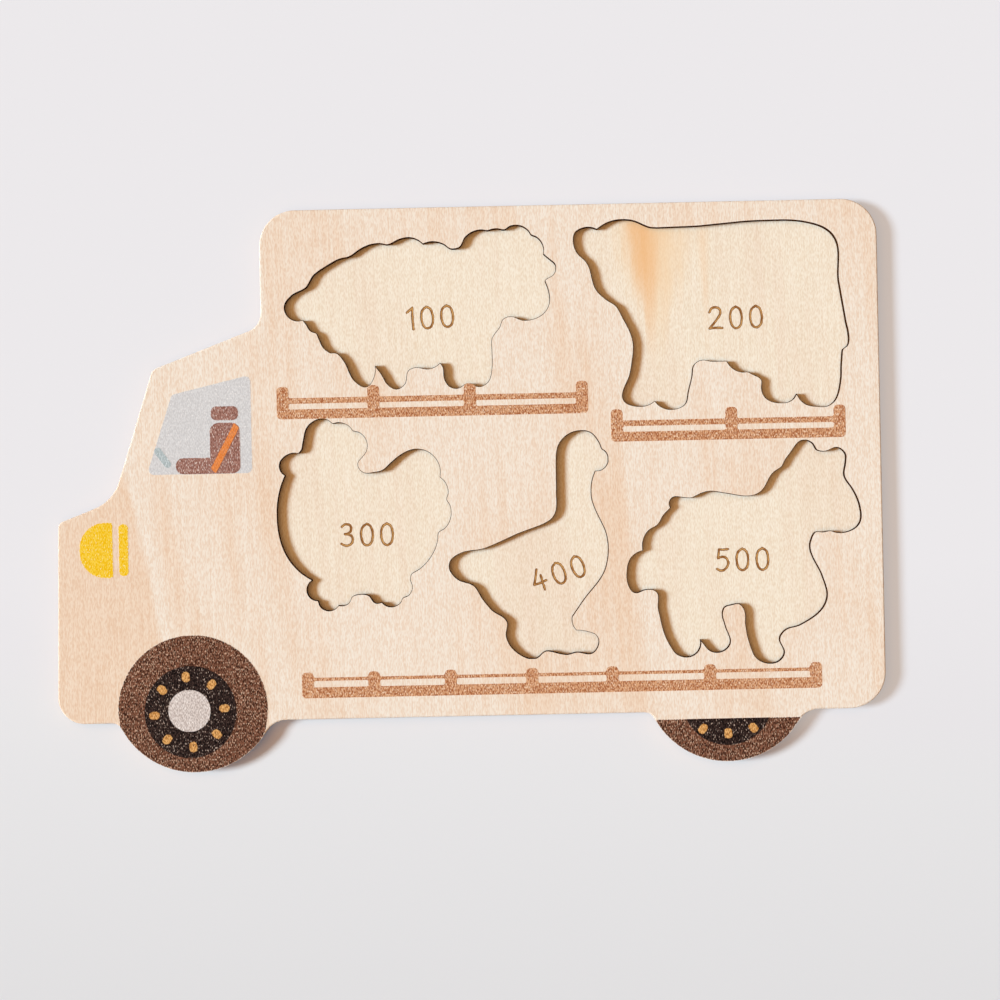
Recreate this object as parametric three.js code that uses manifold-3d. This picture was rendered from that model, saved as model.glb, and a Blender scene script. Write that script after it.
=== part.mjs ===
// A wooden shape board in the outline of a farm lorry, seen from above as it lies on a table.
// A front frame with five animal cut-outs is glued flush onto a base of the same outline, so each
// cut-out is a shallow recess for a loose shape. Both panels are three-ply sheets, and each ply is its
// own solid. The printed pictures on the frame are thin films of ink, laid one over the other.
//
// Millimetres. X runs from the lorry's nose to its tail, Y from its wheels to its roof, Z up out of the
// board. The origin is the middle of the underside.

import * as THREE from 'three';
import { mergeVertices } from 'three/addons/utils/BufferGeometryUtils.js';
import Module from 'manifold-3d';

// Plies: both panels are cut from the same sheet, with a thick core between two thin face plies.
const FACE_PLY = 0.8;
const CORE_PLY = 1.4;

// Lengths of the animal cut-outs, nose to tail. Their heights follow from the silhouettes below.
const SHEEP_LENGTH = 98.1;
const COW_LENGTH = 98.6;
const HEN_LENGTH = 62.6;
const GOOSE_LENGTH = 58.0;
const HORSE_LENGTH = 84.9;

// Wood left beside the cut-outs, along the lorry.
const SHEEP_FRONT_RIM = 8.7;
const SHEEP_COW_WEB = 6.6;
const COW_REAR_RIM = 10.8;
const HEN_FRONT_RIM = 4.6;
const GOOSE_TAIL_TUCK = 1.0; // how far the goose's tail reaches under the hen's
const GOOSE_HORSE_WEB = 6.0;
const HORSE_REAR_RIM = 7.7;

// Wood left above and below the cut-outs.
const SHEEP_TOP_RIM = 7.1;
const COW_TOP_RIM = 5.9;
const HEN_SHEEP_BRIDGE = 10.1;
const GOOSE_SHEEP_BRIDGE = 16.0;
const HORSE_COW_BRIDGE = 11.4;
const HEN_LIFT = 39.0; // the lorry's underside to the animal's feet
const GOOSE_LIFT = 20.3;
const HORSE_LIFT = 16.8;

// Cab and load box.
const CAB_LENGTH = 76.0;
const NOSE_HEIGHT = 72.5;
const NOSE_LEAN = 1.5;
const BONNET_LENGTH = 20.0;
const BONNET_RISE = 7.7;
const SCREEN_LEAN = 15.0;
const SCREEN_HEIGHT = 47.0;
const ROOF_RISE = 14.9;
const NOSE_FOOT_RADIUS = 9.5;
const NOSE_TOP_RADIUS = 2.5;
const SCREEN_FOOT_RADIUS = 15.0;
const ROOF_EDGE_RADIUS = 3.5;
const ROOF_FOOT_RADIUS = 7.0;
const BOX_CORNER_RADIUS = 13.0;

// Wheels: round lobes that stand out below the lorry's underside.
const WHEEL_RADIUS = 30.0;
const GROUND_CLEARANCE = 18.2;
const ARCH_FRONT_FILLET = 4.0; // radius that runs the underside into the front of a lobe
const ARCH_REAR_FILLET = 9.5; // and out of its back
const FRONT_SILL = 9.9; // straight underside between the nose's corner and the front wheel
const REAR_SILL = 11.0; // straight underside between the rear wheel and the tail's corner

// Ink films.
const INK_FILM = 0.05;

// Printed wheels. The rear one is hidden by the lorry's body above a straight edge.
const TYRE_PRINT_RADIUS = 27.0;
const TYRE_PRINT_DROP = 7.5; // print's centre below the lobe's centre
const TYRE_PRINT_SHIFT = 0.7; // print's centre ahead of the lobe's centre
const DISC_PRINT_RADIUS = 16.7;
const DISC_PRINT_SHIFT = 0.9;
const DISC_PRINT_DROP = 0.7;
const HUB_PRINT_RADIUS = 7.7;
const HUB_PRINT_SHIFT = 0.4; // hub and bolts ahead of the disc's centre
const HUB_PRINT_LIFT = 0.4; // hub above the disc's centre
const BODY_EDGE_DROP = 2.7; // the body's printed edge below the underside

// Printed wheel bolts: a ring in front, and a row of three that shows below the body behind.
const BOLT_COUNT = 8;
const BOLT_CIRCLE_RADIUS = 12.7;
const BOLT_WIDTH = 3.2;
const BOLT_LENGTH = 4.2;
const BOLT_CORNER = 1.4;
const FIRST_BOLT_TURN = -5; // degrees past straight up
const REAR_BOLTS = [-1, 0, 1];
const REAR_BOLT_SPACING = 9.1;
const REAR_BOLT_DROP = 5.4; // middle bolt below the body's edge
const REAR_BOLT_RISE = 1.8; // outer bolts above the middle one
const REAR_BOLT_TURN = 38; // degrees between neighbouring bolts

// Printed headlight: a rounded lens and an upright bar behind it.
const LAMP_SETBACK = 9.0;
const LAMP_LIFT = 52.4;
const LENS_LENGTH = 12.1;
const LENS_HEIGHT = 20.1;
const LENS_FRONT_RADIUS = 9.4;
const LENS_REAR_RADIUS = 0.9;
const LAMP_BAR_GAP = 2.1;
const LAMP_BAR_WIDTH = 3.5;
const LAMP_BAR_HEIGHT = 18.9;
const LAMP_BAR_RADIUS = 1.6;

// Printed cab window.
const WINDOW_SILL = 89.2; // above the underside
const PILLAR_FOOT = 9.4; // windscreen to window, at the sill
const PILLAR_HEAD = 10.6; // windscreen to window, at its top
const HEADER_FRONT = 11.7; // roof to window, at the front
const HEADER_REAR = 15.8; // roof to window, at the back
const REAR_POST = 4.0; // window to load box
const WINDOW_CORNER = 2.0;

// Printed seat and steering wheel in the window, placed from the window's rear lower corner.
const SEAT_SETBACK = 4.2;
const SEAT_LENGTH = 23.5;
const CUSHION_HEIGHT = 6.0;
const CUSHION_CORNER = 2.8;
const BACKREST_WIDTH = 11.0;
const BACKREST_HEIGHT = 18.5;
const BACKREST_CORNER = 3.4;
const HEADREST_GAP = 0.7;
const HEADREST_WIDTH = 10.0;
const HEADREST_HEIGHT = 5.2;
const HEADREST_CORNER = 2.0;
const BELT_WIDTH = 2.6;
const BELT_CORNER = 0.4;
const BELT_TURN = 28; // degrees from upright
const RIM_GAP = 0.9; // steering wheel to seat
const RIM_LIFT = 6.2;
const RIM_LENGTH = 8.6;
const RIM_WIDTH = 2.8;
const RIM_CORNER = 1.3;
const RIM_TURN = 36; // degrees from upright

// Printed fences: posts, a broad lower rail and a thin upper rail. Bays are the post spacings.
const FENCE_POST_WIDTH = 4.3;
const FENCE_POST_CORNER = 1.5;
const FENCE_NOOK = 0.4; // radius where a rail meets a post
const FENCE_LOWER_RAIL = 3.5;
const FENCE_UPPER_RAIL = 2.1;
const FENCE_RAIL_GAP = 2.0;
const SHEEP_FENCE_BAYS = [32.7, 34.8, 40.4];
const SHEEP_FENCE_SETBACK = 7.4; // load box's front to the first post's middle
const SHEEP_FENCE_DROP = 9.9; // fence's foot below the sheep's feet
const SHEEP_FENCE_HEIGHT = 11.7;
const COW_FENCE_BAYS = [41.3, 39.0];
const COW_FENCE_INSET = 14.8; // last post's middle to the tail
const COW_FENCE_DROP = 11.1;
const COW_FENCE_HEIGHT = 11.7;
const LOW_FENCE_BAYS = [23.9, 27.6, 29.4, 28.9, 35.2, 38.2];
const LOW_FENCE_SETBACK = 14.4;
const LOW_FENCE_LIFT = 7.6; // underside to the fence's foot
const LOW_FENCE_HEIGHT = 9.3;
const LOW_FENCE_LOWER_RAIL = 3.9;
const LOW_FENCE_UPPER_RAIL = 1.2;
const LOW_FENCE_RAIL_GAP = 2.3;

// Faceting: the most that a facet strays from a true arc or curve.
const CHORD_TOLERANCE = 0.12;

// Animal silhouettes, in millimetres, clockwise. The curve is round from point to point and turns
// sharply only at a point marked SHARP.
const SHARP = true;
const SHEEP = [
  // muzzle and brow
  [6.3, 26, SHARP], [-0.3, 30.3], [3, 35.3], [7.3, 37.4], [10.6, 42.1], [15, 45.1],
  // fleece along the back
  [20, 47.7], [23.5, 48.5], [27.5, 51.1], [31.5, 52.7], [37.5, 52.5, SHARP], [41, 54.1], [45, 54.9],
  [50, 52.5, SHARP], [57.5, 52.2], [59.5, 50.7], [63.5, 51.3], [65, 54.2], [73.3, 56.8, SHARP],
  [76.8, 57.4], [79.5, 57, SHARP], [85.5, 58.2],
  // rump and tail
  [89, 55, SHARP], [93.1, 51.2], [93.2, 48, SHARP], [95, 46.4], [97.6, 43.5], [96.4, 40.2], [94.3, 39.1],
  [93.6, 38.3, SHARP], [94.6, 35.6], [94.6, 29], [85.7, 24.3], [80.7, 25.8], [78.2, 24.8], [77, 22],
  // hind legs
  [74.2, 18.2], [74, 13], [73.8, 6.5], [72.3, 2.3], [69.6, 0.8], [65.2, 2.1], [61, 0.3], [58.4, 1.2],
  [56.8, 4], [56.3, 8.2],
  // belly and fore legs
  [55.4, 9.6, SHARP], [50.8, 7.5], [47, 8.2], [44.2, 7.4], [42.2, 2], [39.6, 0.5], [37, 1.6], [34, 6.2],
  [31.8, 9.2, SHARP], [31.4, 5], [28, 1.5], [25.5, 2.8], [20.2, 11.8], [18.6, 13.6],
  // chest and throat
  [16, 14, SHARP], [13.2, 16.3], [11.9, 19.2], [11, 21.2, SHARP], [8.6, 22.4], [7.4, 24.5],
];
const COW = [
  // ear and back
  [6.4, 65.8, SHARP], [13, 68.9], [20, 68.5], [25, 66.3], [33, 66], [70, 67.8], [80, 67.3],
  // rump and tail
  [90.5, 63.2], [93.3, 45], [95.6, 30.5], [96.5, 25], [96, 22.2], [94.3, 20.8],
  // hind legs
  [93.9, 18.5], [92.8, 7], [91.2, 2.6], [88.5, 0.5], [84.5, 0.35], [80.5, 1.2], [77.3, 5.1, SHARP],
  [74.6, 2.3], [72, 1.9], [65.3, 4.8], [64.6, 7.2], [64.7, 10.2], [61.5, 12.4],
  // udder and belly
  [59.8, 13.3, SHARP], [54, 15], [52.3, 17.4, SHARP], [47, 17.4], [42.6, 17.8],
  // fore legs
  [40.7, 16.6], [39.6, 12], [38.2, 6.6], [36.9, 2.1], [34, 0.6], [30, 0.6], [26, 3.5, SHARP], [20, 1.7],
  [14.5, 4.9], [15, 8], [17, 12.4], [18.2, 18], [18.7, 24.5],
  // chest, muzzle and brow
  [15, 34], [12.6, 38.2], [9.5, 40.3], [6.5, 43], [2, 54.6], [-0.5, 57], [-2.1, 61.5], [-1.4, 64.8],
  [0.6, 66.1],
];
const HEN = [
  // beak and comb
  [2.8, 49.2, SHARP], [0.8, 52.7], [3.4, 56.4], [7.8, 57, SHARP], [8.9, 58.3], [9.4, 60.5], [12, 67.4],
  [17.3, 69.2], [20.2, 67.5, SHARP], [25.2, 67], [27.5, 64.7, SHARP], [32.2, 57.6], [30.5, 55.2],
  // back and tail feathers
  [29.1, 53.6], [31.2, 49.5], [34, 49.5], [37.8, 50.3, SHARP], [41, 53], [45.5, 56.3], [50, 57.7],
  [58.4, 47.4, SHARP], [60.4, 45.3], [60.6, 39.4, SHARP], [62.1, 33.5], [57.5, 27.6, SHARP], [54.6, 19],
  // feet
  [47.5, 12.9, SHARP], [47, 10.6], [47.7, 8.3], [44.2, 4.3, SHARP], [40.6, 1.2], [36.6, 2.9, SHARP],
  [34.6, 2.6], [31.8, 5.5], [28.5, 5.9], [26, 5.1], [24.8, 2.9], [21, 2.1, SHARP], [17.4, 0.2],
  [13.8, 3.9, SHARP], [9.8, 7.7],
  // breast
  [11.9, 11.3, SHARP], [7, 14.8], [-0.3, 37],
];
const GOOSE = [
  // tail and back
  [0.2, 34.4], [0.9, 36.7], [3.2, 38.5], [13, 40.6], [25, 45.6], [33, 48.4], [37.3, 50.7],
  // neck and head
  [39.4, 62], [39.5, 72], [40.4, 77.2], [48, 82.3], [52, 81.6], [54.6, 78.7], [55.9, 75.7, SHARP],
  [58.1, 71], [53.4, 67.8, SHARP],
  // breast
  [52, 57.5], [54.2, 51.5], [56.8, 45.6], [56.6, 33.3], [48, 21],
  // feet
  [44.1, 15.5, SHARP], [44.1, 13], [45.4, 10.5, SHARP], [49.5, 9.9], [52.8, 8.3], [51.8, 2.7], [45, 2.6],
  [42.3, 1.9], [38.5, 2.5], [34.5, 3.3], [30.6, 0.7], [24.5, 2.6], [20.2, 9.5],
  // rump
  [20.8, 13.4], [15, 18.7], [11.8, 22.8], [9.4, 26.9], [2.4, 30.4],
];
const HORSE = [
  // rump and back
  [3.6, 41.8, SHARP], [5.8, 49], [9.2, 51.1], [11.3, 54.4], [13.9, 57, SHARP], [14.8, 60.8], [17.5, 60.8],
  [21.2, 60.4], [25, 62], [28.5, 62.7], [33, 62], [46, 61.8], [51.5, 69.2],
  // mane and ears
  [54.2, 71, SHARP], [57.2, 75.6], [63.3, 80.4], [65.7, 79.1], [67, 76.9], [69.3, 76.2], [75, 77.4],
  [77.3, 75.3], [77.3, 71.8],
  // head
  [76.8, 67.3, SHARP], [79.6, 62.6], [81.9, 57.4], [81.3, 49.3], [77.6, 47.2], [71.3, 47.6, SHARP],
  // throat and chest
  [68.5, 47.2], [66, 47.3], [64.6, 45.2], [68.4, 30.5], [69.8, 25], [59.5, 13.8], [54.3, 12.1],
  // fore legs
  [52.4, 9.7], [53.7, 3.2], [44.4, 1.7], [41.6, 7], [40.1, 14.5], [39.7, 19.8],
  // belly and hind legs
  [38.2, 21.8], [35, 21.6], [32.6, 20.8], [31.8, 18.6], [32.7, 14.2], [33.8, 6.6], [27, 5.3], [24.9, 7.7],
  [23.7, 9.3, SHARP], [22.4, 4.7], [15.5, 4], [12.6, 7.8], [8.8, 20.5],
  // tail
  [7.4, 27.5], [4.6, 27.8], [0, 26.9], [-1.9, 29.8], [-2.2, 34.5], [-0.9, 39],
];

// Finishes, with colours as they show under plain light.
function finish(color, roughness) {
  return new THREE.MeshStandardMaterial({ color, roughness, metalness: 0 });
}
const FRAME_WOOD = finish(0xf3d9bf, 0.75);
const BASE_WOOD = finish(0xf4e0c6, 0.75);
const CORE_WOOD = finish(0xc9a277, 0.85);
const TYRE_INK = finish(0x7b5a4b, 0.6);
const DISC_INK = finish(0x2e2927, 0.6);
const HUB_INK = finish(0xd5c5be, 0.6);
const BOLT_INK = finish(0xd6a050, 0.6);
const LAMP_INK = finish(0xf8cd3f, 0.6);
const GLASS_INK = finish(0xd9dede, 0.6);
const SEAT_INK = finish(0xa9766a, 0.6);
const BELT_INK = finish(0xe8894e, 0.6);
const RIM_INK = finish(0xb7bdbd, 0.6);
const FENCE_INK = finish(0xca9471, 0.6);

// Direction of the circle through three points, at the middle one.
function circleTangent(before, at, after) {
  const arriving = at.clone().sub(before);
  const leaving = after.clone().sub(at);
  const reach = arriving.length();
  arriving.setLength(leaving.length());
  return arriving.add(leaving.setLength(reach)).normalize();
}

// The direction at the other end of a circular arc that stands on a chord.
function arcPartner(direction, chord) {
  const along = chord.clone().normalize();
  const share = 2 * direction.dot(along);
  return along.multiplyScalar(share).sub(direction);
}

// Control arm that makes a cubic curve follow a circular arc on a chord.
function controlArm(direction, chord) {
  const span = chord.length();
  const lean = direction.dot(chord) / span;
  return direction.clone().multiplyScalar((span * 2) / (3 * (1 + lean)));
}

// Closed path through an animal's points.
function silhouettePath(points) {
  const knots = points.map(([x, y]) => new THREE.Vector2(x, y));
  const sharp = points.map(([, , mark]) => mark === SHARP);
  const count = knots.length;
  const path = new THREE.Path();
  path.moveTo(knots[0].x, knots[0].y);
  for (let i = 0; i < count; i += 1) {
    const next = (i + 1) % count;
    const chord = knots[next].clone().sub(knots[i]);
    let leave = sharp[i] ? null : circleTangent(knots.at(i - 1), knots[i], knots[next]);
    let arrive = sharp[next] ? null : circleTangent(knots[i], knots[next], knots[(i + 2) % count]);
    leave ??= arrive ? arcPartner(arrive, chord) : chord.clone().normalize();
    arrive ??= arcPartner(leave, chord);
    const first = knots[i].clone().add(controlArm(leave, chord));
    const second = knots[next].clone().sub(controlArm(arrive, chord));
    path.bezierCurveTo(first.x, first.y, second.x, second.y, knots[next].x, knots[next].y);
  }
  return path;
}

// How far a curve strays from its chords when it is cut into equal steps.
function chordError(curve, steps) {
  let worst = 0;
  for (let i = 0; i < steps; i += 1) {
    const start = curve.getPoint(i / steps);
    const chord = curve.getPoint((i + 1) / steps).sub(start);
    for (const share of [0.25, 0.5, 0.75]) {
      const offset = curve.getPoint((i + share) / steps).sub(start);
      worst = Math.max(worst, Math.abs(chord.cross(offset)) / chord.length());
    }
  }
  return worst;
}

// Corner points of a closed path, with the fewest facets that keep to the chord tolerance.
function facets(path) {
  return path.curves.flatMap((curve) => {
    let steps = 1;
    while (chordError(curve, steps) > CHORD_TOLERANCE) steps += 1;
    return curve.getPoints(steps).slice(0, -1);
  });
}

// An animal's outline at its named length, with its lower left corner at zero.
function animal(points, length) {
  const loop = facets(silhouettePath(points));
  const box = new THREE.Box2().setFromPoints(loop);
  const scale = length / (box.max.x - box.min.x);
  loop.forEach((point) => point.sub(box.min).multiplyScalar(scale));
  return { loop, width: length, height: (box.max.y - box.min.y) * scale };
}

function shifted(loop, x, y) {
  const offset = new THREE.Vector2(x, y);
  return loop.map((point) => point.clone().add(offset));
}

// Adds to a path the arc that rounds the corner at a point between two others.
function addRoundCorner(path, before, at, after, radius) {
  const back = before.clone().sub(at).normalize();
  const ahead = after.clone().sub(at).normalize();
  const halfAngle = Math.acos(back.dot(ahead)) / 2;
  const reach = radius / Math.tan(halfAngle);
  const inward = back.clone().add(ahead).setLength(radius / Math.sin(halfAngle));
  const centre = at.clone().add(inward);
  const start = back.clone().multiplyScalar(reach).sub(inward);
  const end = ahead.clone().multiplyScalar(reach).sub(inward);
  const concave = back.cross(ahead) > 0;
  path.absarc(centre.x, centre.y, radius, start.angle(), end.angle(), concave);
}

// Polygon with rounded corners, given counterclockwise as [x, y, radius].
function roundedLoop(corners) {
  const points = corners.map(([x, y]) => new THREE.Vector2(x, y));
  const path = new THREE.Path();
  corners.forEach(([, , radius], i) => {
    addRoundCorner(path, points.at(i - 1), points[i], points[(i + 1) % points.length], radius);
  });
  return facets(path.closePath());
}

function roundedBar(x, y, width, height, radius) {
  return roundedLoop([
    [x, y, radius], [x + width, y, radius], [x + width, y + height, radius], [x, y + height, radius],
  ]);
}

function discLoop(x, y, radius) {
  const upperHalf = new THREE.Path().absarc(x, y, radius, 0, Math.PI, false);
  return facets(upperHalf.absarc(x, y, radius, Math.PI, 2 * Math.PI, false));
}

function slab(loop, thickness, holes = []) {
  const shape = new THREE.Shape(loop);
  shape.holes = holes.map((hole) => new THREE.Path(hole));
  return new THREE.ExtrudeGeometry(shape, { depth: thickness, bevelEnabled: false });
}

// Joins and cuts between closed solids.
const wasm = await Module();
wasm.setup();

function toSolid(geometry) {
  const bare = geometry.clone();
  bare.deleteAttribute('normal');
  bare.deleteAttribute('uv');
  const merged = mergeVertices(bare);
  const vertProperties = merged.getAttribute('position').array;
  const triVerts = Uint32Array.from(merged.index.array);
  return new wasm.Manifold(new wasm.Mesh({ numProp: 3, vertProperties, triVerts }));
}

function toGeometry(solid) {
  const { vertProperties, triVerts } = solid.getMesh();
  const geometry = new THREE.BufferGeometry();
  geometry.setAttribute('position', new THREE.BufferAttribute(vertProperties, 3));
  geometry.setIndex(new THREE.BufferAttribute(triVerts, 1));
  geometry.computeVertexNormals();
  return geometry;
}

const inkSolid = (loop) => toSolid(slab(loop, INK_FILM));

// A tool that cuts right through an ink film.
function cutter(loop) {
  return toSolid(slab(loop, 3 * INK_FILM).translate(0, 0, -INK_FILM));
}

// Layout of the board: the load box is as long and as tall as its fullest row and column need.
const sheep = animal(SHEEP, SHEEP_LENGTH);
const cow = animal(COW, COW_LENGTH);
const hen = animal(HEN, HEN_LENGTH);
const goose = animal(GOOSE, GOOSE_LENGTH);
const horse = animal(HORSE, HORSE_LENGTH);
const upperRow = SHEEP_FRONT_RIM + sheep.width + SHEEP_COW_WEB + cow.width + COW_REAR_RIM;
const lowerRow = HEN_FRONT_RIM + hen.width - GOOSE_TAIL_TUCK + goose.width
  + GOOSE_HORSE_WEB + horse.width + HORSE_REAR_RIM;
const henColumn = HEN_LIFT + hen.height + HEN_SHEEP_BRIDGE + sheep.height + SHEEP_TOP_RIM;
const gooseColumn = GOOSE_LIFT + goose.height + GOOSE_SHEEP_BRIDGE + sheep.height + SHEEP_TOP_RIM;
const horseColumn = HORSE_LIFT + horse.height + HORSE_COW_BRIDGE + cow.height + COW_TOP_RIM;
const underside = GROUND_CLEARANCE;
const boxFront = CAB_LENGTH;
const tail = boxFront + Math.max(upperRow, lowerRow);
const boxTop = underside + Math.max(henColumn, gooseColumn, horseColumn);

const sheepFeet = boxTop - SHEEP_TOP_RIM - sheep.height;
const cowFeet = boxTop - COW_TOP_RIM - cow.height;
const henFront = boxFront + HEN_FRONT_RIM;
const cutouts = [
  shifted(sheep.loop, boxFront + SHEEP_FRONT_RIM, sheepFeet),
  shifted(cow.loop, tail - COW_REAR_RIM - cow.width, cowFeet),
  shifted(hen.loop, henFront, underside + HEN_LIFT),
  shifted(goose.loop, henFront + hen.width - GOOSE_TAIL_TUCK, underside + GOOSE_LIFT),
  shifted(horse.loop, tail - HORSE_REAR_RIM - horse.width, underside + HORSE_LIFT),
];

// Outline of the lorry, counterclockwise from the foot of its nose.
const noseTop = underside + NOSE_HEIGHT;
const screenFootX = NOSE_LEAN + BONNET_LENGTH;
const screenFoot = noseTop + BONNET_RISE;
const roofEdgeX = screenFootX + SCREEN_LEAN;
const roofEdge = screenFoot + SCREEN_HEIGHT;

// A fillet between the underside and a wheel's lobe: its centre's distance from the axle along the
// underside, its centre's height, and how steeply the line from the axle to it falls.
function archFillet(radius) {
  const drop = WHEEL_RADIUS - underside + radius;
  const reach = Math.sqrt((WHEEL_RADIUS + radius) ** 2 - drop ** 2);
  return { radius, reach, height: underside - radius, tilt: Math.atan2(drop, reach) };
}
const frontFillet = archFillet(ARCH_FRONT_FILLET);
const rearFillet = archFillet(ARCH_REAR_FILLET);
const frontAxle = NOSE_FOOT_RADIUS + FRONT_SILL + frontFillet.reach;
const rearAxle = tail - BOX_CORNER_RADIUS - REAR_SILL - rearFillet.reach;

// The wheel's lobe and the fillets that run it into the underside.
function addWheelLobe(path, axle) {
  const front = frontFillet;
  const rear = rearFillet;
  path.absarc(axle - front.reach, front.height, front.radius, Math.PI / 2, front.tilt, true);
  path.absarc(axle, WHEEL_RADIUS, WHEEL_RADIUS, Math.PI + front.tilt, 2 * Math.PI - rear.tilt, false);
  path.absarc(axle + rear.reach, rear.height, rear.radius, Math.PI - rear.tilt, Math.PI / 2, true);
}

function lorryLoop() {
  const corners = [
    [0, underside, NOSE_FOOT_RADIUS],
    [tail, underside, BOX_CORNER_RADIUS],
    [tail, boxTop, BOX_CORNER_RADIUS],
    [boxFront, boxTop, BOX_CORNER_RADIUS],
    [boxFront, roofEdge + ROOF_RISE, ROOF_FOOT_RADIUS],
    [roofEdgeX, roofEdge, ROOF_EDGE_RADIUS],
    [screenFootX, screenFoot, SCREEN_FOOT_RADIUS],
    [NOSE_LEAN, noseTop, NOSE_TOP_RADIUS],
  ];
  const points = corners.map(([x, y]) => new THREE.Vector2(x, y));
  const path = new THREE.Path();
  corners.forEach(([, , radius], i) => {
    addRoundCorner(path, points.at(i - 1), points[i], points[(i + 1) % points.length], radius);
    if (i === 0) [frontAxle, rearAxle].forEach((axle) => addWheelLobe(path, axle));
  });
  return facets(path.closePath());
}

// The board's own corner is at the nose and the ground line; the group is moved to the shared origin.
const board = new THREE.Group();
const outline = lorryLoop();
const outlineBox = new THREE.Box2().setFromPoints(outline);
const middle = outlineBox.getCenter(new THREE.Vector2());
board.position.set(-middle.x, -middle.y, 0);

function addPiece(parent, name, geometry, material, z) {
  const piece = new THREE.Mesh(geometry, material);
  piece.name = name;
  piece.position.z = z;
  parent.add(piece);
  return piece;
}

// Panels, from the table up.
const panel = 2 * FACE_PLY + CORE_PLY;
const coreLevel = FACE_PLY;
const upperPlyLevel = FACE_PLY + CORE_PLY;
addPiece(board, 'base_back_veneer', slab(outline, FACE_PLY), BASE_WOOD, 0);
addPiece(board, 'base_core_veneer', slab(outline, CORE_PLY), CORE_WOOD, coreLevel);
addPiece(board, 'base_face_veneer', slab(outline, FACE_PLY), BASE_WOOD, upperPlyLevel);
addPiece(board, 'frame_inner_veneer', slab(outline, FACE_PLY, cutouts), FRAME_WOOD, panel);
addPiece(board, 'frame_core_veneer', slab(outline, CORE_PLY, cutouts), CORE_WOOD, panel + coreLevel);
addPiece(board, 'frame_face_veneer', slab(outline, FACE_PLY, cutouts), FRAME_WOOD, panel + upperPlyLevel);

// Prints lie on the frame, in layers: what is printed over something else is one film higher.
const prints = new THREE.Group();
prints.position.z = 2 * panel;
board.add(prints);

function addPrint(name, geometry, material, layer = 0) {
  return addPiece(prints, name, geometry, material, layer * INK_FILM);
}

// Bolt heads lie on the wheel's disc, their length along the radius.
function addBolt(name, x, y, turn) {
  const loop = roundedBar(-BOLT_WIDTH / 2, -BOLT_LENGTH / 2, BOLT_WIDTH, BOLT_LENGTH, BOLT_CORNER);
  const bolt = addPrint(name, slab(loop, INK_FILM), BOLT_INK, 2);
  bolt.position.x = x;
  bolt.position.y = y;
  bolt.rotation.z = -turn;
}

function addFrontWheel() {
  const tyreX = frontAxle - TYRE_PRINT_SHIFT;
  const tyreY = WHEEL_RADIUS - TYRE_PRINT_DROP;
  const discX = tyreX - DISC_PRINT_SHIFT;
  const discY = tyreY - DISC_PRINT_DROP;
  const hubX = discX - HUB_PRINT_SHIFT;
  const tyre = inkSolid(discLoop(tyreX, tyreY, TYRE_PRINT_RADIUS)).intersect(cutter(outline));
  const hub = discLoop(hubX, discY + HUB_PRINT_LIFT, HUB_PRINT_RADIUS);
  addPrint('print_front_tyre', toGeometry(tyre), TYRE_INK);
  addPrint('print_front_disc', slab(discLoop(discX, discY, DISC_PRINT_RADIUS), INK_FILM), DISC_INK, 1);
  addPrint('print_front_hub', slab(hub, INK_FILM), HUB_INK, 2);
  for (let i = 0; i < BOLT_COUNT; i += 1) {
    const turn = THREE.MathUtils.degToRad(FIRST_BOLT_TURN + (360 * i) / BOLT_COUNT);
    const x = hubX + BOLT_CIRCLE_RADIUS * Math.sin(turn);
    const y = discY + BOLT_CIRCLE_RADIUS * Math.cos(turn);
    addBolt(`print_front_bolt_${i + 1}`, x, y, turn);
  }
}

function addRearWheel() {
  const bodyEdge = underside - BODY_EDGE_DROP;
  const left = rearAxle - WHEEL_RADIUS;
  const right = rearAxle + WHEEL_RADIUS;
  const below = cutter([
    new THREE.Vector2(left, outlineBox.min.y - INK_FILM),
    new THREE.Vector2(right, outlineBox.min.y - INK_FILM),
    new THREE.Vector2(right, bodyEdge),
    new THREE.Vector2(left, bodyEdge),
  ]);
  const disc = discLoop(rearAxle, WHEEL_RADIUS - TYRE_PRINT_DROP, DISC_PRINT_RADIUS);
  addPrint('print_rear_tyre', toGeometry(inkSolid(outline).intersect(below)), TYRE_INK);
  addPrint('print_rear_disc', toGeometry(inkSolid(disc).intersect(below)), DISC_INK, 1);
  REAR_BOLTS.forEach((place, i) => {
    const x = rearAxle + place * REAR_BOLT_SPACING;
    const y = bodyEdge - REAR_BOLT_DROP + place * place * REAR_BOLT_RISE;
    addBolt(`print_rear_bolt_${i + 1}`, x, y, THREE.MathUtils.degToRad(-place * REAR_BOLT_TURN));
  });
}

function addHeadlight() {
  const front = LAMP_SETBACK;
  const back = front + LENS_LENGTH;
  const foot = underside + LAMP_LIFT;
  const lens = roundedLoop([
    [front, foot, LENS_FRONT_RADIUS],
    [back, foot, LENS_REAR_RADIUS],
    [back, foot + LENS_HEIGHT, LENS_REAR_RADIUS],
    [front, foot + LENS_HEIGHT, LENS_FRONT_RADIUS],
  ]);
  const barFoot = foot + (LENS_HEIGHT - LAMP_BAR_HEIGHT) / 2;
  const bar = roundedBar(back + LAMP_BAR_GAP, barFoot, LAMP_BAR_WIDTH, LAMP_BAR_HEIGHT, LAMP_BAR_RADIUS);
  addPrint('print_headlight_lens', slab(lens, INK_FILM), LAMP_INK);
  addPrint('print_headlight_bar', slab(bar, INK_FILM), LAMP_INK);
}

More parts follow.
